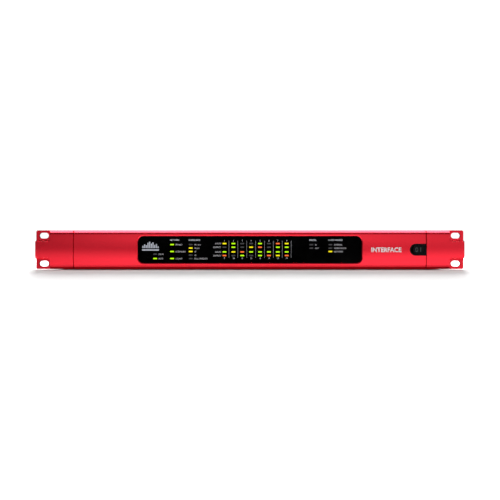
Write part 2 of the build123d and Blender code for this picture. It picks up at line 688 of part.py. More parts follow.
def bnc_body(x):
    """A bayonet coaxial socket: tube with two lugs, and its block behind the panel."""
    outer, bore, length = BNC_TUBE
    tube = rod_y(x, 0, outer, REAR - 2, REAR + length)
    tube -= rod_y(x, 0, bore, REAR + BNC_FLOOR, REAR + length + THROUGH)
    for side in (-1, 1):
        tube += Pos(x, REAR + 8.5, side * (outer + 0.25)) * Box(2.0, 2.0, 1.1)
    return tube + box(x - 7, x + 7, REAR - 16, REAR - SHEET, -7, 7)


def bnc_nut(x):
    """The hexagon nut outside the panel."""
    ring = RegularPolygon(8.0, 6) - Circle(BNC_TUBE[0] + FIT_GAP)
    return prism_y(Pos(x, 0) * ring, REAR, REAR + 2.4)


def bnc_insulator(x):
    """The white insulating sleeve, with the hole for the centre pin."""
    sleeve = rod_y(x, 0, 2.3, REAR + BNC_FLOOR, REAR + 11)
    return sleeve - rod_y(x, 0, BNC_PIN_HOLE, REAR + BNC_FLOOR + 1, REAR + 12)


def dsub_sketch(width, height):
    """The D outline of a connector shell, wider at the top."""
    top = width / 2
    foot = top - 0.34 * height
    half = height / 2
    outline = make_face(Polyline((-top, half), (top, half), (foot, -half), (-foot, -half), (-top, half)))
    return fillet(outline.vertices(), 1.6)


def dsub_shell(x, z):
    """The plated shell: flange plate and D skirt standing out of the panel."""
    width, height, reach = DSUB_SKIRT
    wall = DSUB_WALL
    shell = prism_y(Pos(x, z) * RectangleRounded(53.1, 12.5, 1.5), REAR, REAR + DSUB_PLATE)
    shell += prism_y(Pos(x, z) * dsub_sketch(width, height), REAR, REAR + reach)
    inside = dsub_sketch(width - 2 * wall, height - 2 * wall)
    shell -= prism_y(Pos(x, z) * inside, REAR - THROUGH, REAR + reach + THROUGH)
    for side in (-1, 1):
        post_x = x + side * DSUB_POSTS / 2
        shell -= rod_y(post_x, z, DSUB_POST_SHANK + SCREW_GAP, REAR - THROUGH, REAR + THROUGH)
    return shell


def dsub_insert(x, z):
    """The contact block: 13 holes over 12, and the housing behind the panel."""
    width, height, reach = DSUB_SKIRT
    inset = 2 * (DSUB_WALL + FIT_GAP)
    block = prism_y(Pos(x, z) * dsub_sketch(width - inset, height - inset), REAR - SHEET, REAR + reach - 0.3)
    half_width, half_height, depth = DSUB_HOUSING
    block += box(x - half_width, x + half_width, REAR - depth, REAR - SHEET, z - half_height, z + half_height)
    holes = []
    for row, count in ((1, 13), (-1, 12)):
        start = x - DSUB_PITCH * (count - 1) / 2
        row_z = z + row * DSUB_ROW / 2
        holes += [Pos(start + DSUB_PITCH * i, row_z) * Circle(0.55) for i in range(count)]
    return block - prism_y(Sketch() + holes, REAR, REAR + reach)


def dsub_posts():
    """Hexagon jack posts, threaded for the plug's screws."""
    seat = REAR + DSUB_PLATE
    post = prism_y(RegularPolygon(2.7, 6) - Circle(DSUB_POST_BORE), seat, seat + 5.0)
    post += rod_y(0, 0, DSUB_POST_SHANK, REAR - 4, seat)
    return [Pos(x + side * DSUB_POSTS / 2, 0, z) * post for x, z in DSUB_PLACES for side in (-1, 1)]


def earth_stud():
    """The earth stud, with a washer and a nut outside and a nut inside, locked together as one piece."""
    nut = RegularPolygon(4.0, 6)
    stud = rod_y(0, 0, M4, REAR - 8, REAR + 9)
    stud += prism_y(Circle(4.4), REAR, REAR + WASHER)
    stud += prism_y(nut, REAR + WASHER, REAR + WASHER + NUT)
    stud += prism_y(nut, REAR - SHEET - NUT, REAR - SHEET)
    return [Pos(EARTH[0], 0, EARTH[1]) * stud]


# ------------------------------------------------------------------ boards and supplies

def board_corners(board):
    """The four fixing holes of a board."""
    x0, x1, y0, y1 = board
    inset = BOARD_CORNER
    return [(x, y) for x in (x0 + inset, x1 - inset) for y in (y0 + inset, y1 - 3 * inset)]


def standoff_places():
    """Where every standoff stands."""
    return [spot for board in (MAIN_BOARD, CONVERTER_BOARD, *PSU_BOARDS) for spot in board_corners(board)]


def circuit_board(board):
    """A board with its four fixing holes."""
    x0, x1, y0, y1 = board
    plate = box(x0, x1, y0, y1, BOARD_Z, BOARD_TOP)
    for x, y in board_corners(board):
        plate -= rod_z(x, y, M3 + SCREW_GAP, BOARD_Z - THROUGH, BOARD_TOP + THROUGH)
    return plate


def standoffs():
    """Hexagon standoffs between the base and the boards."""
    pillar = extrude(RegularPolygon(3.0, 6) - Circle(M3 + SCREW_GAP), amount=BOARD_Z - INNER_FLOOR)
    return [Pos(x, y, INNER_FLOOR) * pillar for x, y in standoff_places()]


def board_screws():
    """Pan-head screws: down through each board, and through the display board into the fascia."""
    top = [place(pan_screw(M3, 3.2), (x, y, BOARD_TOP), (0, 0, 1)) for x, y in standoff_places()]
    below = [place(flat_screw(M3, 2.8), (x, y, CASE_FLOOR), (0, 0, -1)) for x, y in standoff_places()]
    rear = BOARD_THICK - BOARD_RECESS_DEPTH
    display = [place(pan_screw(M25, 5.5), (x, rear, z), (0, 1, 0)) for x, z in BOARD_FIXINGS]
    return top + below + display


def chip(x, y, width, depth, height, z=BOARD_TOP):
    """A flat component body on a board."""
    return box(x - width / 2, x + width / 2, y - depth / 2, y + depth / 2, z, z + height)


def board_chips():
    """Converter and processor packages, crystals and headers of the two signal boards."""
    pieces = [chip(-190 + 22 * i, 170 + 24 * j, 10, 10, 1.6) for i in range(8) for j in range(2)]
    pieces += [chip(-190 + 22 * i, 138, 7, 5, 1.4) for i in range(8)]
    pieces += [chip(-1 + 18 * i, 205, 6, 9, 1.4) for i in range(6)]
    header = chip(RIBBON_X, RIBBON_HEADER_Y, RIBBON_WIDTH + 4, 8, RIBBON_HEADER_TOP - BOARD_TOP)
    return pieces + [chip(85, 160, 16, 16, 1.8), chip(85, 185, 9, 5, 3.0), header]


def network_module():
    """The plug-in network card above the main board, on its two connectors."""
    card = box(10, 70, 140, 195, CARD_Z, CARD_Z + BOARD_THICK)
    for y in (143, 188):
        card += box(14, 66, y, y + 4, BOARD_TOP, CARD_Z)
    return card


def network_heatsink():
    """The finned heatsink on the network card."""
    x0, x1, y0, y1 = CARD_HEATSINK
    base = CARD_Z + BOARD_THICK
    heatsink = box(x0, x1, y0, y1, base, base + 3)
    for i in range(7):
        x = x0 + 0.6 + 4.6 * i
        heatsink += box(x, x + 1.2, y0, y1, base + 3, base + 13)
    return heatsink


def can_capacitor(x, y, radius, height, z=BOARD_TOP):
    """An upright electrolytic capacitor with a rounded shoulder."""
    can = rod_z(x, y, radius, z, z + height)
    return fillet(can.edges().group_by(Axis.Z)[-1], 0.6)


def board_capacitors():
    """The small capacitors of the converter board."""
    return [can_capacitor(-180 + 15 * i, 118, 4, 11) for i in range(10)]


def transformer_places():
    """Two transformers on each supply board, as (x, y, size of the core)."""
    return [(x, y, size) for x in PSU_X for y, size in ((150.0, 28.0), (95.0, 20.0))]


def transformer_cores():
    """The ferrite cores: an arch over each bobbin."""
    cores = []
    for x, y, size in transformer_places():
        half = size / 2
        core = box(x - half, x + half, y - half, y + half, BOARD_TOP, BOARD_TOP + 5 + 0.7 * size)
        core = fillet(core.edges().filter_by(Axis.Z), 1.0)
        cores.append(core - transformer_bobbin(x, y, size, FIT_GAP))
    return cores


def transformer_bobbin(x, y, size, grow=0.0):
    """One wound bobbin, which stands out of its core at both ends."""
    half = size / 2
    reach = half + 2 + grow
    width = half - 4 + grow
    return box(x - reach, x + reach, y - width, y + width, BOARD_TOP, BOARD_TOP + 0.66 * size + grow)


def psu_heatsinks():
    """A finned aluminium bar along both edges of each supply board."""
    pieces = []
    for x in PSU_X:
        for side in (-1, 1):
            edge = x + side * 21.0
            bar = box(edge - 1.5, edge + 1.5, 70, 172, BOARD_TOP, BOARD_TOP + 27)
            for i in range(5):
                z = BOARD_TOP + 3 + 5.5 * i
                fin = sorted((edge - side * 1.5, edge + side * 3.5))
                bar += box(*fin, 70, 172, z, z + 1.4)
            pieces.append(bar)
    return pieces


def psu_capacitors():
    """The large smoothing capacitors at each end of the supply boards."""
    pieces = []
    for x in PSU_X:
        pieces.append(can_capacitor(x, 190, 9, 26))
        pieces += [can_capacitor(x + dx, 60, 6, 22) for dx in (-8, 8)]
        pieces += [can_capacitor(x + dx, 76, 4, 14) for dx in (-9, 0, 9)]
    return pieces


def insulation_sheet():
    """The sheet between the base and the supply boards, cut away round the standoffs."""
    sheet = box(106, 214.5, 42, 208, INNER_FLOOR, INNER_FLOOR + 0.4)
    for board in PSU_BOARDS:
        for x, y in board_corners(board):
            sheet -= rod_z(x, y, 4.5, INNER_FLOOR - THROUGH, INNER_FLOOR + THROUGH)
    return sheet


def ribbon_cable():
    """The flat cable from the display board, along the case floor, up to the main board's header."""
    floor = INNER_FLOOR + 1.0
    crest = RIBBON_HEADER_TOP + 4.5
    route = [
        (RIBBON_X, RIBBON_START_Y, RIBBON_Z),
        (RIBBON_X, 18, RIBBON_Z),
        (RIBBON_X, 32, floor),
        (RIBBON_X, 106, floor),
        (RIBBON_X, 113, crest),
        (RIBBON_X, RIBBON_HEADER_Y, crest),
        (RIBBON_X, RIBBON_HEADER_Y, RIBBON_HEADER_TOP),
    ]
    path = FilletPolyline(*route, radius=2.5)
    section = Plane(origin=path @ 0, x_dir=(1, 0, 0), z_dir=path % 0) * Rectangle(RIBBON_WIDTH, RIBBON_THICK)
    return sweep(section, path=path)


def wire(points):
    """A round wire along a route with rounded corners."""
    path = FilletPolyline(*points, radius=WIRE_BEND)
    section = Plane(origin=path @ 0, z_dir=path % 0) * Circle(WIRE_RADIUS)
    return sweep(section, path=path)


def mains_wiring():
    """Three wires from each inlet to its supply board, and two from the switch to each board."""
    wires = []
    land_y = PSU_BOARDS[0][3] - 3
    for x in INLET_X:
        for dx, z in INLET_BLADES:
            points = [(x + dx, REAR - BLADE_TAIL, z), (x + dx, land_y, z), (x + dx, land_y, BOARD_TOP)]
            wires.append(wire(points))
    land_y = PSU_BOARDS[0][2] + 5
    for i, x in enumerate(TERMINAL_X):
        upper = [(x, TERMINAL_END, TERMINAL_Z), (x, land_y, TERMINAL_Z), (x, land_y, BOARD_TOP)]
        turn_y = 38 - 4 * i
        end_x = PSU_X[1] - 4 + 8 * i
        lower = [(x, TERMINAL_END, -TERMINAL_Z), (x, turn_y, -TERMINAL_Z), (end_x, turn_y, -TERMINAL_Z)]
        lower += [(end_x, land_y, -TERMINAL_Z), (end_x, land_y, BOARD_TOP)]
        wires += [wire(upper), wire(lower)]
    return wires


os.makedirs("parts", exist_ok=True)
save("front_fascia", front_fascia())
save("ear_left", ear(-1))
save("ear_right", ear(1))
save("display_window", display_window())
for state, node in STATE_NODES.items():
    save(node, *lenses(state))
save("light_guide_carrier", light_guide_carrier())
save("display_board", display_board())
save("display_chips", *display_chips())
save("switch_housing", switch_housing())
save("switch_rocker", switch_rocker())
save("switch_terminals", *switch_terminals())
save("chassis_tray", chassis_tray())
save("top_cover", top_cover())
save("cover_screws", *cover_screws())
save("panel_screws", *panel_screws())
save("rear_panel", rear_panel())
save("rear_screws", *rear_screws())
for name, x in zip("ab", INLET_X):
    save(f"inlet_{name}", inlet(x))
save("inlet_blades", *[blade for x in INLET_X for blade in inlet_blades(x)])
save("inlet_screws", *inlet_screws())
through = BARREL_DEPTH + FLANGE_D_THICK
save("ethernet_shells", *[flange_shell(x, FEMALE_BORE, through, True) for x in ETHERNET_X])
save("ethernet_jacks", *[ethernet_jack(x) for x in ETHERNET_X])
for name, x in zip("ab", ETHERNET_X):
    save(f"ethernet_latch_{name}", latch_tab(x))
save("xlr_female_shell", flange_shell(XLR_FEMALE_X, FEMALE_BORE, WELL_DEPTH, True))
save("xlr_female_insert", xlr_female_insert())
save("xlr_latch", latch_tab(XLR_FEMALE_X))
save("xlr_male_shell", flange_shell(XLR_MALE_X, MALE_BORE, WELL_DEPTH, False))
save("xlr_male_insert", xlr_male_insert())
save("xlr_male_pins", *xlr_male_pins())
save("flange_screws", *flange_screws())
save("bnc_bodies", *[bnc_body(x) for x in BNC_X])
save("bnc_nuts", *[bnc_nut(x) for x in BNC_X])
save("bnc_insulators", *[bnc_insulator(x) for x in BNC_X])
save("dsub_shells", *[dsub_shell(x, z) for x, z in DSUB_PLACES])
save("dsub_inserts", *[dsub_insert(x, z) for x, z in DSUB_PLACES])
save("dsub_posts", *dsub_posts())
save("earth_stud", *earth_stud())
save("main_board", circuit_board(MAIN_BOARD))
save("converter_board", circuit_board(CONVERTER_BOARD))
save("board_chips", *board_chips())
save("board_capacitors", *board_capacitors())
save("network_module", network_module())
save("network_heatsink", network_heatsink())
for name, board in zip("ab", PSU_BOARDS):
    save(f"psu_board_{name}", circuit_board(board))
save("transformer_cores", *transformer_cores())
save("transformer_bobbins", *[transformer_bobbin(*spot) for spot in transformer_places()])
save("psu_heatsinks", *psu_heatsinks())
save("psu_capacitors", *psu_capacitors())
save("insulation_sheet", insulation_sheet())
save("standoffs", *standoffs())
save("board_screws", *board_screws())
save("ribbon_cable", ribbon_cable())
save("mains_wiring", *mains_wiring())
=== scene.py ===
from math import cos, pi, radians, sin, sqrt

import bmesh
import bpy
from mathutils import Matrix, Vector
from mathutils.bvhtree import BVHTree


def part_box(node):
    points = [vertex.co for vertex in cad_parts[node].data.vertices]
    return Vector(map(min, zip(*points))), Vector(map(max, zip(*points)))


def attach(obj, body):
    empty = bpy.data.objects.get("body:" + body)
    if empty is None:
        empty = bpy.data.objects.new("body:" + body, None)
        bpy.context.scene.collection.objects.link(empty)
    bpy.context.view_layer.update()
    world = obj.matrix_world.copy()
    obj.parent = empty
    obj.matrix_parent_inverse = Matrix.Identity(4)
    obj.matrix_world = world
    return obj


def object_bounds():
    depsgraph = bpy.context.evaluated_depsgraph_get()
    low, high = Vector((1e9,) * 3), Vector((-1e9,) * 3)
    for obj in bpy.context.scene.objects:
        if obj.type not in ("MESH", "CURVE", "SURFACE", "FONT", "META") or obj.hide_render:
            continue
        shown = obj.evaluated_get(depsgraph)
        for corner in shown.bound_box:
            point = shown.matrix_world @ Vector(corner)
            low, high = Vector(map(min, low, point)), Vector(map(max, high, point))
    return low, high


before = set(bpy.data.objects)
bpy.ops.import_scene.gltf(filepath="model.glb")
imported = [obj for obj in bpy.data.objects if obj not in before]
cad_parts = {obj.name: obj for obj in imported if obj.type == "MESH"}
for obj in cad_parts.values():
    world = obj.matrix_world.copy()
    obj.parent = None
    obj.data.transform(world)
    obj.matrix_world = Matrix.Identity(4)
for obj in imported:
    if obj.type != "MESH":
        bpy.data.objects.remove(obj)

MM = 0.001
cad_low, cad_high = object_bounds()
scene = bpy.context.scene
scene.view_settings.view_transform = "Standard"
scene.view_settings.look = "None"

# ---------------------------------------------------------------- places taken from the frame
panel_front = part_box("front_fascia")[0].y
window_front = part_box("display_window")[0].y
rear_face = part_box("rear_panel")[1].y
CROWN_RADIUS = 170.3 * MM

# ---------------------------------------------------------------- camera
CAMERA_DISTANCE = 1.3
FIELD_WIDTH = 0.5617
SENSOR = 36.0
AIM_X = 0.2 * MM
AIM_Z = -0.4 * MM


def add_camera():
    """A level camera straight in front of the panel, with the object in the middle of its picture."""
    data = bpy.data.cameras.new("camera")
    data.sensor_width = SENSOR
    data.lens = SENSOR * CAMERA_DISTANCE / FIELD_WIDTH
    data.clip_start = 0.01
    camera = bpy.data.objects.new("camera", data)
    camera.location = (AIM_X, panel_front - CAMERA_DISTANCE, AIM_Z)
    camera.rotation_euler = (radians(90), 0, 0)
    scene.collection.objects.link(camera)
    scene.camera = camera


# ---------------------------------------------------------------- stage
FLOOR_HALF = 3.0
FLOOR_STAND_OFF = 0.8 * MM
FALL_SETBACK = 3.5 * MM
FALL_RUN = 1.2
FALL_SLOPE = 0.3
FALL_BLEND = 6 * MM
FALL_STEPS = 60


def add_floor(material):
    """A pale table: level under the object, and falling away gently in front of it."""
    top = cad_low.z - FLOOR_STAND_OFF
    fall_start = panel_front + FALL_SETBACK
    rows = [(FLOOR_HALF, top), (fall_start, top)]
    for i in range(1, FALL_STEPS + 1):
        run = FALL_RUN * (i / FALL_STEPS) ** 2
        drop = FALL_SLOPE * (sqrt(run * run + FALL_BLEND ** 2) - FALL_BLEND)
        rows.append((fall_start - run, top - drop))
    mesh = bpy.data.meshes.new("floor")
    verts = [(side * FLOOR_HALF, y, z) for y, z in rows for side in (-1, 1)]
    faces = [(2 * i, 2 * i + 2, 2 * i + 3, 2 * i + 1) for i in range(len(rows) - 1)]
    mesh.from_pydata(verts, [], faces)
    for polygon in mesh.polygons:
        polygon.use_smooth = True
    floor = bpy.data.objects.new("floor", mesh)
    mesh.materials.append(material)
    scene.collection.objects.link(floor)


# ---------------------------------------------------------------- node tools
RAMP_SCALE = 2.0


def axes_of(tree, coordinates="Object"):
    """The x, y and z sockets of a texture coordinate."""
    place = tree.nodes.new("ShaderNodeTexCoord")
    split = tree.nodes.new("ShaderNodeSeparateXYZ")
    tree.links.new(place.outputs[coordinates], split.inputs[0])
    return split.outputs


def size_of(tree, value):
    """The value without its sign."""
    return add_math(tree, "ABSOLUTE", value)


def add_math(tree, operation, *values):
    """A math node on sockets or numbers."""
    node = tree.nodes.new("ShaderNodeMath")
    node.operation = operation
    for i, value in enumerate(values):
        if isinstance(value, (int, float)):
            node.inputs[i].default_value = value
        else:
            tree.links.new(value, node.inputs[i])
    return node.outputs["Value"]


def smooth_step(tree, value, start, end):
    """0 before start, 1 after end."""
    node = tree.nodes.new("ShaderNodeMapRange")
    node.interpolation_type = "SMOOTHSTEP"
    node.inputs["From Min"].default_value = start
    node.inputs["From Max"].default_value = end
    tree.links.new(value, node.inputs["Value"])
    return node.outputs["Result"]


def mix_values(tree, factor, first, second):
    """A mix of two sockets or numbers."""
    node = tree.nodes.new("ShaderNodeMix")
    for socket, value in (("Factor", factor), ("A", first), ("B", second)):
        if isinstance(value, (int, float)):
            node.inputs[socket].default_value = value
        else:
            tree.links.new(value, node.inputs[socket])
    return node.outputs["Result"]


def add_ramp(tree, value, low, high, stops):
    """A smooth grey ramp over stops of (position, brightness) between low and high."""
    remap = tree.nodes.new("ShaderNodeMapRange")
    remap.inputs["From Min"].default_value = low
    remap.inputs["From Max"].default_value = high
    tree.links.new(value, remap.inputs["Value"])
    node = tree.nodes.new("ShaderNodeValToRGB")
    tree.links.new(remap.outputs["Result"], node.inputs["Fac"])
    ramp = node.color_ramp
    ramp.interpolation = "EASE"
    ramp.elements.remove(ramp.elements[1])
    for i, (position, brightness) in enumerate(stops):
        share = (position - low) / (high - low)
        element = ramp.elements[0] if i == 0 else ramp.elements.new(share)
        element.position = share
        tone = brightness / RAMP_SCALE
        element.color = (tone, tone, tone, 1)
    return node.outputs["Color"]


# ---------------------------------------------------------------- surroundings and lamps
# Brightness of the surroundings in front of the object, as (height of the direction, brightness)
FRONT_HEIGHTS = (
    (-1.0, 0.25), (-0.5, 0.45), (-0.28, 1.2), (-0.20, 1.45), (-0.10, 1.50), (-0.03, 0.92), (0.03, 0.48),
    (0.10, 0.80), (0.19, 0.88), (0.30, 0.46), (0.45, 0.30), (1.0, 0.24),
)
# How much of that the upper half keeps across the front, as (sideways direction, share)
FRONT_SIDES = (
    (-0.5, 0.20), (-0.19, 0.34), (-0.15, 0.54), (-0.11, 1.24), (0.0, 1.36), (0.09, 1.38), (0.14, 1.02),
    (0.19, 0.90), (0.5, 0.6),
)
LOWER_SIDES = ((-0.5, 0.55), (-0.17, 0.66), (-0.12, 0.96), (0.09, 1.02), (0.16, 0.98), (0.5, 0.8))
SIDE_REACH = 0.5
LOWER_TO_UPPER = (-0.05, 0.03)
BACKDROP = 1.1
BEHIND = 0.4
BEHIND_START = (0.0, 0.5)
FAR_DARK = 0.08
FAR_DARK_START = (0.88, 0.97)
DARK_HALF = (0.112, 0.022)
DARK_BLUR = (0.012, 0.010)


def add_world():
    """The studio as the object reflects it, behind a plain white backdrop that only the camera sees.
    In front it is a bright table edge, a dim horizon and a soft panel above, with a dark gap straight ahead."""
    world = bpy.data.worlds.new("studio")
    scene.world = world
    world.use_nodes = True
    tree = world.node_tree
    x, y, z = axes_of(tree, "Generated")
    heights = add_ramp(tree, z, -1.0, 1.0, FRONT_HEIGHTS)
    upper = add_ramp(tree, x, -SIDE_REACH, SIDE_REACH, FRONT_SIDES)
    lower = add_ramp(tree, x, -SIDE_REACH, SIDE_REACH, LOWER_SIDES)
    sides = mix_values(tree, smooth_step(tree, z, *LOWER_TO_UPPER), lower, upper)
    front = add_math(tree, "MULTIPLY", heights, sides)
    front = add_math(tree, "MULTIPLY", front, RAMP_SCALE * RAMP_SCALE)
    beside = smooth_step(tree, size_of(tree, x), DARK_HALF[0], DARK_HALF[0] + DARK_BLUR[0])
    over = smooth_step(tree, size_of(tree, z), DARK_HALF[1], DARK_HALF[1] + DARK_BLUR[1])
    front = add_math(tree, "MULTIPLY", front, add_math(tree, "MAXIMUM", beside, over))
    around = mix_values(tree, smooth_step(tree, y, *BEHIND_START), front, BEHIND)
    around = mix_values(tree, smooth_step(tree, y, *FAR_DARK_START), around, FAR_DARK)
    seen = tree.nodes.new("ShaderNodeLightPath").outputs["Is Camera Ray"]
    tree.links.new(mix_values(tree, seen, around, BACKDROP), tree.nodes["Background"].inputs["Color"])


def area_light(name, location, target, size, power):
    """A soft rectangular lamp that faces a point."""
    data = bpy.data.lights.new(name, "AREA")
    data.shape = "RECTANGLE"
    data.size, data.size_y = size
    data.energy = power
    lamp = bpy.data.objects.new(name, data)
    lamp.location = location
    aim = Vector(target) - Vector(location)
    lamp.rotation_euler = aim.to_track_quat("-Z", "Y").to_euler()
    scene.collection.objects.link(lamp)


def add_lights():
    """A narrow lamp overhead, and a broad one high behind that throws the soft shadow forward."""
    area_light("overhead", (0.05, 0.03, 1.7), (0.05, 0.03, 0), (2.2, 0.2), 17)
    area_light("back", (0.0, 1.12, 1.5), (0, 0, 0), (1.1, 1.3), 60)


# ---------------------------------------------------------------- material tools
def new_material(name, color, metallic=0.0, roughness=0.5, coat=0.0, coat_roughness=0.1, level=0.5):
    """A principled material with its uniform values set."""
    material = bpy.data.materials.new(name)
    material.use_nodes = True
    shader = material.node_tree.nodes["Principled BSDF"]
    shader.inputs["Base Color"].default_value = (*color, 1)
    shader.inputs["Metallic"].default_value = metallic
    shader.inputs["Roughness"].default_value = roughness
    shader.inputs["Coat Weight"].default_value = coat
    shader.inputs["Coat Roughness"].default_value = coat_roughness
    shader.inputs["Specular IOR Level"].default_value = level
    return material


def shader_of(material):
    return material.node_tree.nodes["Principled BSDF"]


def noise(material, scale, detail=3.0, roughness=0.6, stretch=(1, 1, 1)):
    """A noise texture in the object's own coordinates; scale is in features per metre."""
    nodes, links = material.node_tree.nodes, material.node_tree.links
    place = nodes.new("ShaderNodeTexCoord")
    mapping = nodes.new("ShaderNodeMapping")
    mapping.inputs["Scale"].default_value = stretch
    links.new(place.outputs["Object"], mapping.inputs["Vector"])
    texture = nodes.new("ShaderNodeTexNoise")
    texture.inputs["Scale"].default_value = scale
    texture.inputs["Detail"].default_value = detail
    texture.inputs["Roughness"].default_value = roughness
    links.new(mapping.outputs["Vector"], texture.inputs["Vector"])
    return texture.outputs["Fac"]


def spread(material, value, low, high, start=0.3, end=0.7):
    """Maps a texture value to a range."""
    nodes, links = material.node_tree.nodes, material.node_tree.links
    remap = nodes.new("ShaderNodeMapRange")
    remap.inputs["From Min"].default_value = start
    remap.inputs["From Max"].default_value = end
    remap.inputs["To Min"].default_value = low
    remap.inputs["To Max"].default_value = high
    links.new(value, remap.inputs["Value"])
    return remap.outputs["Result"]


def blend_colors(material, factor, first, second):
    """Mixes two colours, each a tuple or a socket."""
    nodes, links = material.node_tree.nodes, material.node_tree.links
    mix = nodes.new("ShaderNodeMix")
    mix.data_type = "RGBA"
    links.new(factor, mix.inputs["Factor"])
    for socket, color in (("A", first), ("B", second)):
        if isinstance(color, tuple):
            mix.inputs[socket].default_value = (*color, 1)
        else:
            links.new(color, mix.inputs[socket])
    return mix.outputs["Result"]


def vary_roughness(material, scale, low, high, stretch=(1, 1, 1)):
    """Uneven gloss."""
    value = spread(material, noise(material, scale, stretch=stretch), low, high)
    material.node_tree.links.new(value, shader_of(material).inputs["Roughness"])


def vary_color(material, scale, first, second, stretch=(1, 1, 1)):
    """Uneven colour between two tones."""
    share = spread(material, noise(material, scale, stretch=stretch), 0, 1)
    color = blend_colors(material, share, first, second)
    material.node_tree.links.new(color, shader_of(material).inputs["Base Color"])
    return color


def grain(material, scale, strength, distance, edge=0.0, stretch=(1, 1, 1)):
    """Fine surface relief, over edges rounded by the given radius."""
    nodes, links = material.node_tree.nodes, material.node_tree.links
    bump = nodes.new("ShaderNodeBump")
    bump.inputs["Strength"].default_value = strength
    bump.inputs["Distance"].default_value = distance
    links.new(noise(material, scale, 4.0, stretch=stretch), bump.inputs["Height"])
    if edge:
        bevel = nodes.new("ShaderNodeBevel")
        bevel.samples = 4
        bevel.inputs["Radius"].default_value = edge
        links.new(bevel.outputs["Normal"], bump.inputs["Normal"])
    links.new(bump.outputs["Normal"], shader_of(material).inputs["Normal"])


def edge_mask(material, radius, start, end):
    """1 along sharp edges and 0 on flats, broken up by noise."""
    nodes, links = material.node_tree.nodes, material.node_tree.links
    bevel = nodes.new("ShaderNodeBevel")
    bevel.samples = 4
    bevel.inputs["Radius"].default_value = radius
    flat = nodes.new("ShaderNodeNewGeometry")
    dot = nodes.new("ShaderNodeVectorMath")
    dot.operation = "DOT_PRODUCT"
    links.new(bevel.outputs["Normal"], dot.inputs[0])
    links.new(flat.outputs["Normal"], dot.inputs[1])
    sharp = spread(material, dot.outputs["Value"], 1, 0, start, end)
    product = nodes.new("ShaderNodeMath")
    product.operation = "MULTIPLY"
    links.new(sharp, product.inputs[0])
    links.new(spread(material, noise(material, 900), 0.15, 1.0, 0.35, 0.6), product.inputs[1])
    return product.outputs["Value"]


# ---------------------------------------------------------------- materials
# Room that holds only the rack slots' walls, which get painted shade: its middle and half size across and up,
# and its depth
SLOT_ROOM = ((232.55 * MM, 6.0 * MM), (15.875 * MM, 4.0 * MM))
SLOT_DEPTHS = (-4.85 * MM, -0.15 * MM)
SLOT_BLUR = 0.3 * MM


def slot_mask(tree):
    """Painted shade mask: 1 on the walls of the rack slots, and 0 everywhere else."""
    x, y, z = axes_of(tree)
    slot_shade = smooth_step(tree, y, SLOT_DEPTHS[0], SLOT_DEPTHS[0] + SLOT_BLUR)
    slot_shade = add_math(tree, "MULTIPLY", slot_shade, add_math(tree, "LESS_THAN", y, SLOT_DEPTHS[1]))
    for value, (middle, half) in zip((x, z), SLOT_ROOM):
        away = size_of(tree, add_math(tree, "SUBTRACT", size_of(tree, value), middle))
        slot_shade = add_math(tree, "MULTIPLY", slot_shade, add_math(tree, "LESS_THAN", away, half))
    return slot_shade


def anodised_red():
    """Bead-blasted aluminium, dyed red, under a thin clear oxide layer, with edges painted a paler red (partly
    wear, partly a painted highlight) and painted shade on the slot walls.
    """
    material = new_material("anodised_red", (0.86, 0.008, 0.028), 1.0, 0.2, coat=0.45, coat_roughness=0.16)
    tone = vary_color(material, 2600, (0.85, 0.0075, 0.027), (0.87, 0.0085, 0.029))
    # Edges painted a paler red: partly wear, partly a painted highlight.
    wear_and_highlight = edge_mask(material, 0.35 * MM, 0.80, 0.98)
    color = blend_colors(material, wear_and_highlight, tone, (0.95, 0.03, 0.06))
    tree = material.node_tree
    # Painted shade: the slot walls are made near black, rough and without the clear layer, as though in shadow.
    slot_shade = slot_mask(tree)
    color = blend_colors(material, slot_shade, color, (0.02, 0.0012, 0.002))
    tree.links.new(color, shader_of(material).inputs["Base Color"])
    gloss = spread(material, noise(material, 1400), 0.19, 0.215)
    tree.links.new(mix_values(tree, slot_shade, gloss, 0.9), shader_of(material).inputs["Roughness"])
    tree.links.new(mix_values(tree, slot_shade, 0.45, 0.0), shader_of(material).inputs["Coat Weight"])
    grain(material, 5200, 0.05, 0.02 * MM, edge=0.4 * MM)
    return material


def acrylic_black():
    """Polished black window with the faintest handling marks."""
    material = new_material("acrylic_black", (0.0006, 0.0006, 0.0007), 0.0, 0.05, level=0.4)
    vary_roughness(material, 60, 0.02, 0.06)
    return material


def lit_lens(name, color, strength):
    """A light guide's tip, lit from behind: brighter and dimmer by a little across its face."""
    material = new_material(name, tuple(0.05 * c for c in color), 0.0, 0.25, level=0.1)
    shader = shader_of(material)
    deep = tuple(0.82 * c for c in color)
    glow = blend_colors(material, spread(material, noise(material, 700), 0, 1), deep, color)
    material.node_tree.links.new(glow, shader.inputs["Emission Color"])
    shader.inputs["Emission Strength"].default_value = strength
    vary_roughness(material, 900, 0.18, 0.34)
    return material


def dark_lens():
    """A light guide that isn't lit: smoked, slightly milky."""
    material = new_material("lens_dark", (0.04, 0.04, 0.045), 0.0, 0.3)
    vary_color(material, 800, (0.034, 0.034, 0.038), (0.05, 0.05, 0.056))
    vary_roughness(material, 900, 0.22, 0.38)
    return material


def moulded(name, color, roughness, scale=4200, strength=0.35, edge=0.2 * MM, level=0.5, edge_wear_and_highlight=0.008):
    """Moulded plastic with spark-eroded grain, and edges painted paler: partly wear, partly a painted
    highlight.
    """
    material = new_material(name, color, 0.0, roughness, level=level)
    # Paler edge colour: partly wear, partly a painted highlight, strongest on the switch.
    highlit_wear_color = tuple(min(1.0, 1.9 * c + edge_wear_and_highlight) for c in color)
    tone = vary_color(material, 500, color, tuple(1.25 * c for c in color))
    wear_and_highlight = blend_colors(material, edge_mask(material, edge, 0.82, 0.98), tone, highlit_wear_color)
    material.node_tree.links.new(wear_and_highlight, shader_of(material).inputs["Base Color"])
    vary_roughness(material, 1200, roughness - 0.06, roughness + 0.08)
    grain(material, scale, strength, 0.02 * MM, edge=edge)
    return material


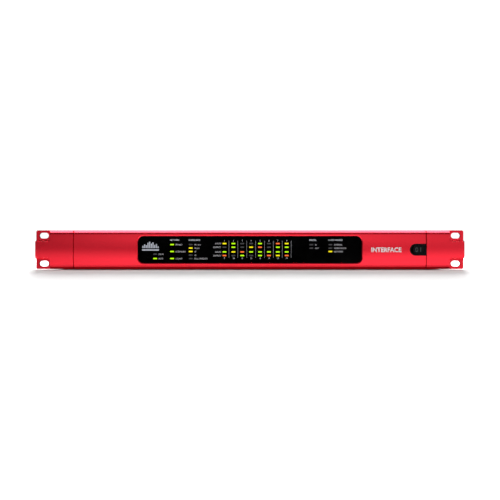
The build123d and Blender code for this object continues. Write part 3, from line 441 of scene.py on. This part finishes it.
def powder_coat():
    """Fine-textured black powder coat on steel, with its edges painted paler: partly wear, partly a painted
    highlight.
    """
    material = new_material("powder_coat", (0.012, 0.012, 0.0135), 0.0, 0.48, level=0.16)
    tone = vary_color(material, 45, (0.0105, 0.0105, 0.012), (0.014, 0.014, 0.0155))
    # Edges painted paler: partly wear, partly a painted highlight.
    wear_and_highlight = blend_colors(material, edge_mask(material, 0.4 * MM, 0.75, 0.97), tone, (0.05, 0.05, 0.054))
    material.node_tree.links.new(wear_and_highlight, shader_of(material).inputs["Base Color"])
    vary_roughness(material, 1500, 0.40, 0.56)
    grain(material, 1900, 0.55, 0.08 * MM, edge=0.3 * MM)
    return material


def plated(name, color, low, high, stretch=(1, 1, 1), edge=0.1 * MM):
    """Plated or bare metal with fine machining marks."""
    material = new_material(name, color, 1.0, (low + high) / 2)
    vary_color(material, 300, color, tuple(0.86 * c for c in color))
    vary_roughness(material, 900, low, high, stretch)
    grain(material, 2500, 0.12, 0.02 * MM, edge=edge, stretch=stretch)
    return material


def circuit_green():
    """Solder mask over copper tracks."""
    material = new_material("circuit_green", (0.01, 0.11, 0.045), 0.0, 0.35, coat=0.4)
    nodes, links = material.node_tree.nodes, material.node_tree.links
    place = nodes.new("ShaderNodeTexCoord")
    brick = nodes.new("ShaderNodeTexBrick")
    brick.inputs["Scale"].default_value = 260
    brick.inputs["Mortar Size"].default_value = 0.035
    brick.inputs["Color1"].default_value = (0.008, 0.09, 0.035, 1)
    brick.inputs["Color2"].default_value = (0.011, 0.12, 0.048, 1)
    brick.inputs["Mortar"].default_value = (0.03, 0.24, 0.10, 1)
    links.new(place.outputs["Object"], brick.inputs["Vector"])
    links.new(brick.outputs["Color"], shader_of(material).inputs["Base Color"])
    vary_roughness(material, 400, 0.28, 0.42)
    grain(material, 1200, 0.2, 0.03 * MM)
    return material


def striped(name, first, second, pitch, roughness):
    """Stripes across X, as on a flat cable or wound tape."""
    material = new_material(name, first, 0.0, roughness)
    nodes, links = material.node_tree.nodes, material.node_tree.links
    place = nodes.new("ShaderNodeTexCoord")
    wave = nodes.new("ShaderNodeTexWave")
    wave.inputs["Scale"].default_value = 1 / (pitch * 3.2)
    links.new(place.outputs["Object"], wave.inputs["Vector"])
    color = blend_colors(material, wave.outputs["Fac"], first, second)
    links.new(color, shader_of(material).inputs["Base Color"])
    vary_roughness(material, 500, roughness - 0.08, roughness + 0.08)
    return material


def ink(name, color):
    """Screen-printed ink: slightly uneven in tone and gloss."""
    material = new_material(name, color, 0.0, 0.5)
    vary_color(material, 1500, color, tuple(0.93 * c for c in color))
    vary_roughness(material, 1500, 0.42, 0.6)
    return material


# Distances over which the table's own glow grows, away from the object, and how strong it gets
GLOW_ASIDE = (0.25, 0.5)
GLOW_BEHIND = (0.3, 0.6)
GLOW_AHEAD = (0.08, 0.3)
NEAR_GLOW = 0.6
GLOW_FAR_ASIDE = (0.6, 1.1)
GLOW_FAR_BEHIND = (0.7, 1.2)
FAR_GLOW = 0.5
# Light just under the panel, as only its lower bevel reflects it: distances in front of the panel
FOOT_START = (-2.2 * MM, -0.6 * MM)
FOOT_END = (3 * MM, 12 * MM)
FOOT_GLOW = 0.45
# Rays shorter than this pass through the table from where the case starts, so that light reaches its underside
CLOSE_UNDER = 2.5 * MM
CASE_START = 2 * MM


def table_glow(tree):
    """How brightly the table glows: not at all under the object, and up to white far from it."""
    x, y, _ = axes_of(tree)
    aside = size_of(tree, x)
    beside = smooth_step(tree, aside, *GLOW_ASIDE)
    behind = smooth_step(tree, y, *GLOW_BEHIND)
    ahead = smooth_step(tree, add_math(tree, "MULTIPLY", y, -1), *GLOW_AHEAD)
    near = add_math(tree, "MAXIMUM", add_math(tree, "MAXIMUM", beside, behind), ahead)
    far_beside = smooth_step(tree, aside, *GLOW_FAR_ASIDE)
    far_behind = smooth_step(tree, y, *GLOW_FAR_BEHIND)
    far = add_math(tree, "MULTIPLY", add_math(tree, "MAXIMUM", far_beside, far_behind), FAR_GLOW)
    glow = add_math(tree, "ADD", add_math(tree, "MULTIPLY", near, NEAR_GLOW), far)
    depth = add_math(tree, "SUBTRACT", panel_front, y)
    foot = smooth_step(tree, depth, *FOOT_START)
    foot = add_math(tree, "SUBTRACT", foot, smooth_step(tree, depth, *FOOT_END))
    seen = tree.nodes.new("ShaderNodeLightPath").outputs["Is Camera Ray"]
    foot = add_math(tree, "MULTIPLY", foot, add_math(tree, "SUBTRACT", 1, seen))
    return add_math(tree, "ADD", glow, add_math(tree, "MULTIPLY", foot, FOOT_GLOW))


def plain_paper():
    """The table's matt white surface, which glows away from the object."""
    material = new_material("table_white", (0.86, 0.86, 0.86), 0.0, 0.9, level=0.1)
    vary_color(material, 8, (0.86, 0.86, 0.86), (0.875, 0.875, 0.875))
    shader_of(material).inputs["Emission Color"].default_value = (1, 1, 1, 1)
    glow = table_glow(material.node_tree)
    material.node_tree.links.new(glow, shader_of(material).inputs["Emission Strength"])
    open_from_below(material)
    return material


def open_from_below(material):
    """Lets the table be looked through from below, where light then reaches the object's underside."""
    tree = material.node_tree
    path = tree.nodes.new("ShaderNodeLightPath")
    side = tree.nodes.new("ShaderNodeNewGeometry")
    clear = tree.nodes.new("ShaderNodeBsdfTransparent")
    mix = tree.nodes.new("ShaderNodeMixShader")
    close = add_math(tree, "LESS_THAN", path.outputs["Ray Length"], CLOSE_UNDER)
    under_case = add_math(tree, "GREATER_THAN", axes_of(tree)[1], CASE_START)
    close = add_math(tree, "MULTIPLY", close, under_case)
    close = add_math(tree, "SUBTRACT", close, path.outputs["Is Camera Ray"])
    tree.links.new(add_math(tree, "MAXIMUM", close, side.outputs["Backfacing"]), mix.inputs["Fac"])
    tree.links.new(shader_of(material).outputs["BSDF"], mix.inputs[1])
    tree.links.new(clear.outputs["BSDF"], mix.inputs[2])
    tree.links.new(mix.outputs["Shader"], tree.nodes["Material Output"].inputs["Surface"])


# ---------------------------------------------------------------- printed legends
CAPITAL_SHARE = 0.729
PRINT = 0.03 * MM


def lettering(name, labels, material, surface, back=False, width=1.0, weight=0.016):
    """One printed piece on the chassis. Each label is (text, x, z, capital height, alignment), and lies on
    y = surface(x, z). A label on the back reads from behind, and its x is still the frame's own. Width
    narrows the letters, and weight thickens their strokes."""
    curves = []
    for text, _, _, height, align in labels:
        curve = bpy.data.curves.new("label", "FONT")
        curve.body = text
        curve.align_x = align
        curve.size = height / CAPITAL_SHARE
        curve.offset = weight * curve.size
        curve.resolution_u = 4
        obj = bpy.data.objects.new("label", curve)
        scene.collection.objects.link(obj)
        curves.append(obj)
    bpy.context.view_layer.update()
    graph = bpy.context.evaluated_depsgraph_get()
    facing = 1 if back else -1
    merged = bmesh.new()
    for obj, (_, x, z, _, _) in zip(curves, labels):
        mesh = bpy.data.meshes.new_from_object(obj.evaluated_get(graph))
        for vertex in mesh.vertices:
            px, pz = x - facing * width * vertex.co.x, z + vertex.co.y
            vertex.co = (px, surface(px, pz) + facing * PRINT, pz)
        merged.from_mesh(mesh)
        bpy.data.meshes.remove(mesh)
        bpy.data.objects.remove(obj)
    ink_piece(name, merged, material, "chassis", facing)


def ink_piece(name, flat, material, body, facing=-1):
    """Gives flat print its thickness and puts it on a body."""
    bmesh.ops.dissolve_limit(flat, angle_limit=radians(0.5), verts=flat.verts, edges=flat.edges)
    for face in flat.faces:
        if face.normal.y * facing < 0:
            face.normal_flip()
    grown = bmesh.ops.extrude_face_region(flat, geom=flat.faces[:])
    for element in grown["geom"]:
        if isinstance(element, bmesh.types.BMVert):
            element.co.y -= facing * PRINT
    bmesh.ops.recalc_face_normals(flat, faces=flat.faces)
    piece_from(name, flat, material, body)


def bars(name, boxes, material):
    """Printed rectangles on the display window, each (x0, x1, z0, z1)."""
    flat = bmesh.new()
    for x0, x1, z0, z1 in boxes:
        corners = [(x0, z0), (x1, z0), (x1, z1), (x0, z1)]
        flat.faces.new([flat.verts.new((x, window_front - PRINT, z)) for x, z in corners])
    ink_piece(name, flat, material, "chassis")


def tree_of(name):
    """A search tree over a CAD node's faces."""
    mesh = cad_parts[name].data
    return BVHTree.FromPolygons([v.co for v in mesh.vertices], [list(p.vertices) for p in mesh.polygons])


def piece_from(name, shape, material, body):
    """Turns a bmesh into a named piece that rides on a body, with its parts in the same order every time."""
    for i, vertex in enumerate(sorted(shape.verts, key=lambda vertex: vertex.co.to_tuple(7))):
        vertex.index = i
    for i, face in enumerate(sorted(shape.faces, key=lambda face: face.calc_center_median().to_tuple(7))):
        face.index = i
    shape.verts.sort()
    shape.faces.sort()
    mesh = bpy.data.meshes.new(name)
    shape.to_mesh(mesh)
    shape.free()
    mesh.materials.append(material)
    obj = bpy.data.objects.new(name, mesh)
    scene.collection.objects.link(obj)
    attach(obj, body)


rocker_tree = tree_of("switch_rocker")


def on_window(x, z):
    return window_front


def on_panel(x, z):
    return panel_front + z * z / (2 * CROWN_RADIUS)


def on_rocker(x, z):
    """The rocker's front face, found by looking straight at it from the front."""
    start = Vector((x, panel_front - 20 * MM, z))
    return rocker_tree.ray_cast(start, Vector((0, 1, 0)))[0].y


def on_rear(x, z):
    return rear_face


# Layout of the display, in millimetres from the middle of the panel
GROUP_HEADINGS = (
    ("NETWORK", -90.0),
    ("SAMPLE RATE", -69.0),
    ("DIGITAL", 66.7),
    ("CLOCK SOURCE", 88.0),
)
GROUP_HEADING_Z = 9.9
STATUS_LABELS = (
    (-102.6, ((-6.0, "PSU A"), (-10.9, "PSU B"))),
    (-83.7, ((4.8, "PRIMARY"), (-3.0, "SECONDARY"), (-10.9, "LOCKED"))),
    (-62.4, ((4.8, "44.1 kHz"), (0.9, "48 kHz"), (-3.0, "x2"), (-7.0, "x4"), (-10.9, "PULL UP/DOWN"))),
    (73.3, ((4.7, "IN"), (0.8, "OUT"))),
    (94.7, ((4.7, "INTERNAL"), (0.8, "WORD CLOCK"), (-3.0, "NETWORK"))),
)
METER_START = -28.5
METER_PITCH = 10.0
METER_COUNT = 8
METER_NUMBER_ROWS = (9.3, -10.4)
METER_LINE_HALF = 0.2
METER_LINE_ENDS = (-9.3, 10.0)
METER_LABEL_X = -32.4
METER_LABELS = ((6.0, "INPUTS"), (1.9, "OUTPUTS"), (-3.4, "INPUTS"), (-7.5, "OUTPUTS"))
LABEL_HEIGHT = 1.75
HEADING_HEIGHT = 1.9
LABEL_WIDTH = 0.84


def window_legends(white, grey, line):
    """Headings, labels, channel numbers and column lines on the display window."""
    headings = [(t, x * MM, GROUP_HEADING_Z * MM, HEADING_HEIGHT * MM, "LEFT") for t, x in GROUP_HEADINGS]
    for i in range(METER_COUNT):
        x = (METER_START + METER_PITCH * i) * MM
        for z, number in zip(METER_NUMBER_ROWS, (i + 1, i + 1 + METER_COUNT)):
            headings.append((str(number), x, z * MM, LABEL_HEIGHT * MM, "CENTER"))
    lettering("window_headings", headings, white, on_window, width=LABEL_WIDTH)
    labels = []
    for x, column in STATUS_LABELS:
        labels += [(text, x * MM, z * MM, LABEL_HEIGHT * MM, "LEFT") for z, text in column]
    labels += [(text, METER_LABEL_X * MM, z * MM, LABEL_HEIGHT * MM, "RIGHT") for z, text in METER_LABELS]
    lettering("window_labels", labels, grey, on_window, width=LABEL_WIDTH)
    lines = []
    for i in range(METER_COUNT):
        x = METER_START + METER_PITCH * (i + 0.5)
        edges = (x - METER_LINE_HALF, x + METER_LINE_HALF, *METER_LINE_ENDS)
        lines.append(tuple(edge * MM for edge in edges))
    bars("window_lines", lines, line)


EMBLEM_LEFT = -121.2 * MM
EMBLEM_RIGHT = -102.2 * MM
EMBLEM_FOOT = 1.7 * MM
EMBLEM_TALLEST = 7.2 * MM
EMBLEM_LEVELS = (0.35, 0.6, 0.45, 0.85, 1.0, 0.7, 0.9, 0.5, 0.65, 0.3)
EMBLEM_RULE = (-1.2 * MM, 0.5 * MM)
BAR_SHARE = 0.72


def window_emblem(white):
    """A plain level-bar emblem in the window's upper left corner, over a solid rule."""
    pitch = (EMBLEM_RIGHT - EMBLEM_LEFT) / len(EMBLEM_LEVELS)
    shapes = []
    for i, level in enumerate(EMBLEM_LEVELS):
        x = EMBLEM_LEFT + pitch * (i + (1 - BAR_SHARE) / 2)
        shapes.append((x, x + BAR_SHARE * pitch, EMBLEM_FOOT, EMBLEM_FOOT + EMBLEM_TALLEST * level))
    shapes.append((EMBLEM_LEFT, EMBLEM_RIGHT, *EMBLEM_RULE))
    bars("window_emblem", shapes, white)


RING_X = 187.6 * MM
LINE_X = 192.2 * MM
MARK_HALF = 2.5 * MM
LINE_HALF_WIDTH = 0.32 * MM
RING_WIDTH_SHARE = 0.62
RING_INNER = 0.74
RING_STEPS = 32


def rocker_marks(grey):
    """The off ring and the on line on the rocker's two ends, following its curved face."""
    shape = bmesh.new()
    rings = []
    for i in range(RING_STEPS):
        angle = 2 * pi * i / RING_STEPS
        across = MARK_HALF * RING_WIDTH_SHARE * cos(angle)
        up = MARK_HALF * sin(angle)
        rings.append([(RING_X + share * across, share * up) for share in (1.0, RING_INNER)])
    quads = [(*rings[i], *reversed(rings[(i + 1) % RING_STEPS])) for i in range(RING_STEPS)]
    left, right = LINE_X - LINE_HALF_WIDTH, LINE_X + LINE_HALF_WIDTH
    quads.append(((left, -MARK_HALF), (right, -MARK_HALF), (right, MARK_HALF), (left, MARK_HALF)))
    for corners in quads:
        verts = [shape.verts.new((x, on_rocker(x, z) - PRINT, z)) for x, z in corners]
        shape.faces.new(verts)
    bmesh.ops.remove_doubles(shape, verts=shape.verts, dist=0.001 * MM)
    ink_piece("rocker_marks", shape, grey, "rocker")


REAR_LABELS = (
    ("MAINS A", 189.0, 13.6), ("MAINS B", 137.0, 13.6), ("NETWORK 1", 93.0, 16.6), ("NETWORK 2", 62.0, 16.6),
    ("CLOCK IN", 38.0, 9.6), ("OUT", 20.0, 9.6), ("DIGITAL IN", -6.0, 16.6), ("DIGITAL OUT", -37.0, 16.6),
    ("ANALOGUE OUT 1-8", -88.0, 15.7), ("ANALOGUE IN 1-8", -148.0, 15.7),
    ("ANALOGUE OUT 9-16", -88.0, -16.0), ("ANALOGUE IN 9-16", -148.0, -16.0), ("EARTH", -196.0, -1.4),
)


def rear_legends(white):
    """What each socket is for, printed on the rear panel."""
    labels = [(text, x * MM, z * MM, 1.7 * MM, "CENTER") for text, x, z in REAR_LABELS]
    lettering("rear_legends", labels, white, on_rear, back=True, width=LABEL_WIDTH)


def panel_word(white):
    """A plain descriptive word on the fascia, left of the switch."""
    labels = [("INTERFACE", 153.2 * MM, -2.6 * MM, 5.2 * MM, "CENTER")]
    lettering("panel_word", labels, white, on_panel, width=0.94, weight=0.034)


# ---------------------------------------------------------------- finish for every CAD node
def paint_nodes():
    """Gives each CAD node its material."""
    red = anodised_red()
    case = powder_coat()
    shell = moulded("shell_black", (0.012, 0.012, 0.013), 0.3, scale=2600, strength=0.15)
    # The switch's edges are painted much paler than the other plastics': a painted highlight along the rocker's
    # and housing's edges.
    switch = moulded("switch_plastic", (0.0035, 0.0035, 0.004), 0.42, edge=0.4 * MM, level=0.08, edge_wear_and_highlight=0.06)
    plastic = moulded("socket_plastic", (0.012, 0.012, 0.012), 0.5)
    screw = plated("black_zinc", (0.06, 0.06, 0.065), 0.28, 0.45)
    steel = plated("bright_zinc", (0.46, 0.46, 0.45), 0.27, 0.42)
    nickel = plated("nickel_plate", (0.40, 0.39, 0.365), 0.24, 0.36)
    contact = plated("contact_plate", (0.50, 0.48, 0.43), 0.24, 0.36)
    brass = plated("brass_plate", (0.56, 0.40, 0.17), 0.27, 0.42)
    sink = plated("heatsink_metal", (0.26, 0.26, 0.27), 0.35, 0.5, stretch=(1, 0.05, 1))
    board = circuit_green()
    chips = moulded("component_black", (0.014, 0.014, 0.015), 0.55)
    cans = moulded("capacitor_sleeve", (0.02, 0.02, 0.045), 0.35)
    tape = striped("winding_tape", (0.62, 0.42, 0.05), (0.70, 0.52, 0.10), 4 * MM, 0.4)
    finishes = {
        red: ("front_fascia", "ear_left", "ear_right"),
        case: ("chassis_tray", "top_cover", "rear_panel"),
        acrylic_black(): ("display_window",),
        lit_lens("lens_green_lit", (0.50, 1.0, 0.003), 1.15): ("lenses_green",),
        lit_lens("lens_amber_lit", (1.0, 0.84, 0.005), 1.15): ("lenses_amber",),
        lit_lens("lens_red_lit", (1.0, 0.17, 0.03), 1.15): ("lenses_red",),
        dark_lens(): ("lenses_unlit",),
        shell: ("ethernet_shells", "xlr_female_shell", "xlr_male_shell"),
        switch: ("switch_housing", "switch_rocker", "light_guide_carrier"),
        plastic: (
            "inlet_a", "inlet_b", "ethernet_jacks", "xlr_female_insert", "xlr_male_insert", "dsub_inserts",
        ),
        screw: ("cover_screws", "rear_screws", "inlet_screws", "flange_screws"),
        steel: ("panel_screws", "board_screws", "dsub_posts"),
        nickel: (
            "bnc_bodies", "bnc_nuts", "dsub_shells", "ethernet_latch_a", "ethernet_latch_b", "xlr_latch",
        ),
        contact: ("inlet_blades", "xlr_male_pins", "switch_terminals"),
        brass: ("earth_stud", "standoffs"),
        sink: ("psu_heatsinks", "network_heatsink"),
        board: (
            "display_board", "main_board", "converter_board", "network_module", "psu_board_a", "psu_board_b",
        ),
        chips: ("display_chips", "board_chips"),
        cans: ("board_capacitors", "psu_capacitors"),
        tape: ("transformer_bobbins",),
        moulded("ferrite", (0.035, 0.034, 0.036), 0.55, scale=1400): ("transformer_cores",),
        striped("ribbon_grey", (0.33, 0.33, 0.34), (0.46, 0.46, 0.47), 1.27 * MM, 0.5): ("ribbon_cable",),
        moulded("insulating_film", (0.42, 0.42, 0.38), 0.4): ("insulation_sheet",),
        moulded("wire_sleeve", (0.10, 0.035, 0.02), 0.45): ("mains_wiring",),
        moulded("insulator_white", (0.78, 0.78, 0.75), 0.4): ("bnc_insulators",),
    }
    for material, names in finishes.items():
        for name in names:
            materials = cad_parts[name].data.materials
            materials.clear()
            materials.append(material)


add_camera()
add_world()
add_lights()
add_floor(plain_paper())
paint_nodes()
white_ink = ink("ink_white", (0.86, 0.90, 0.98))
grey_ink = ink("ink_grey", (0.70, 0.70, 0.74))
line_ink = ink("ink_line", (0.30, 0.30, 0.33))
emblem_ink = ink("ink_emblem", (0.58, 0.62, 0.70))
mark_ink = ink("ink_mark", (0.95, 0.93, 0.93))
switch_ink = ink("ink_switch", (0.09, 0.09, 0.095))
window_legends(white_ink, grey_ink, line_ink)
window_emblem(emblem_ink)
panel_word(mark_ink)
rocker_marks(switch_ink)
rear_legends(grey_ink)
